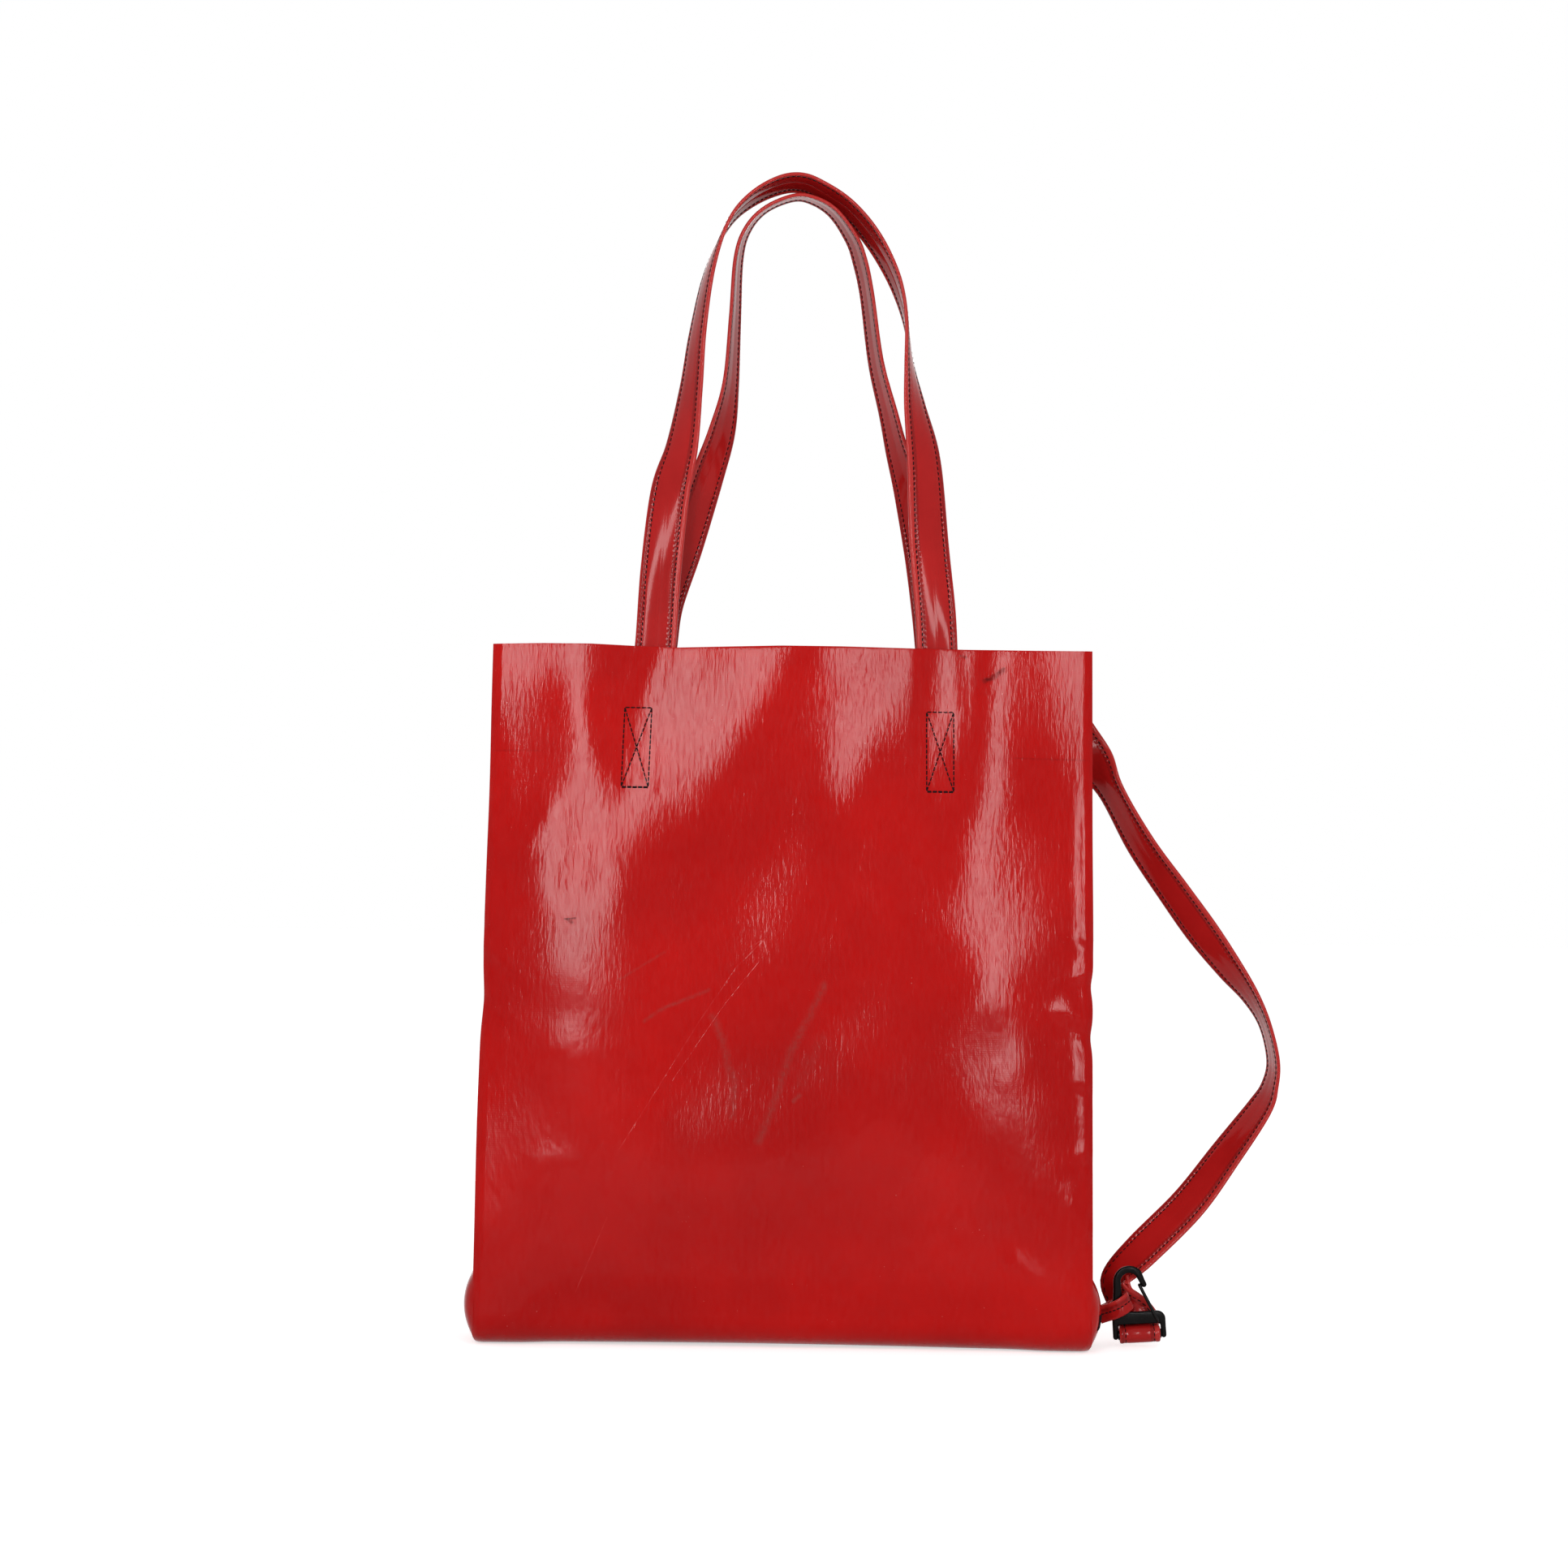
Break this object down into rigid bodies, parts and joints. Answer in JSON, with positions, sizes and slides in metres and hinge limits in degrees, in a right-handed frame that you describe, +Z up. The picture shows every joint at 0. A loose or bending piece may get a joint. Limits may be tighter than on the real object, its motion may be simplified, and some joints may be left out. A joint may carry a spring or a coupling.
{
  "type": "tote bag",
  "caption": "Open-topped tarpaulin tote bag with two long carrying handles, folding side gussets and a shoulder strap that clips to a corner loop with a snap hook.",
  "frame": {"origin": "On the floor, under the middle of the base.", "axes": "+X to the side that carries the shoulder strap, -Y to the front, +Z up."},
  "size_m": [0.4865, 0.0836, 0.7001],
  "materials": {
    "tarpaulin": "glossy coated woven tarpaulin, bright red",
    "strapping": "folded and sewn strips of the same red tarpaulin",
    "thread": "thick dark brown sewing thread",
    "hook_black": "satin black coating",
    "wire_black": "black coated spring wire"
  },
  "bodies": {
    "bag": {"front_panel": "tarpaulin", "back_panel": "tarpaulin", "base_panel": "tarpaulin", "front_hem": "tarpaulin", "back_hem": "tarpaulin", "left_gusset": "tarpaulin", "right_gusset": "tarpaulin", "front_handle_ends": "strapping", "back_handle_ends": "strapping", "front_box_stitches": "thread", "back_box_stitches": "thread", "strap_anchor": "strapping", "strap_anchor_stitches": "thread", "corner_bartack": "thread"},
    "front_grip": {"front_handle": "strapping"},
    "back_grip": {"back_handle": "strapping"},
    "strap": {"shoulder_strap": "strapping", "strap_end_loop": "strapping", "strap_end_stitches": "thread", "corner_loop": "strapping"},
    "hook": {"hook_frame": "hook_black"},
    "gate": {"gate_wire": "wire_black"}
  },
  "joints": [
    {"name": "front_handle_fold", "type": "hinge", "parent": "bag", "child": "front_grip", "pos_m": [0, -0.01865, 0.4143], "axis": [1, 0, 0], "range_deg": [0, 165]},
    {"name": "back_handle_fold", "type": "hinge", "parent": "bag", "child": "back_grip", "pos_m": [0, 0.01865, 0.4143], "axis": [1, 0, 0], "range_deg": [-165, 0]},
    {"name": "strap_swing", "type": "hinge", "parent": "bag", "child": "strap", "pos_m": [0.18072, 0.02107, 0.354], "axis": [-0.027, 0.0507, 0.9983], "range_deg": [-28, 20]},
    {"name": "hook_rock", "type": "hinge", "parent": "strap", "child": "hook", "pos_m": [0.21442, 0.004, 0.0074], "axis": [0.9976, 0, 0.0698], "range_deg": [-2, 3]},
    {"name": "gate_open", "type": "hinge", "parent": "hook", "child": "gate", "pos_m": [0.22515, 0.004, 0.01597], "axis": [0, -1, 0], "range_deg": [0, 16], "stiffness_Nm_per_rad": 0.02, "springref_deg": -5.73}
  ]
}
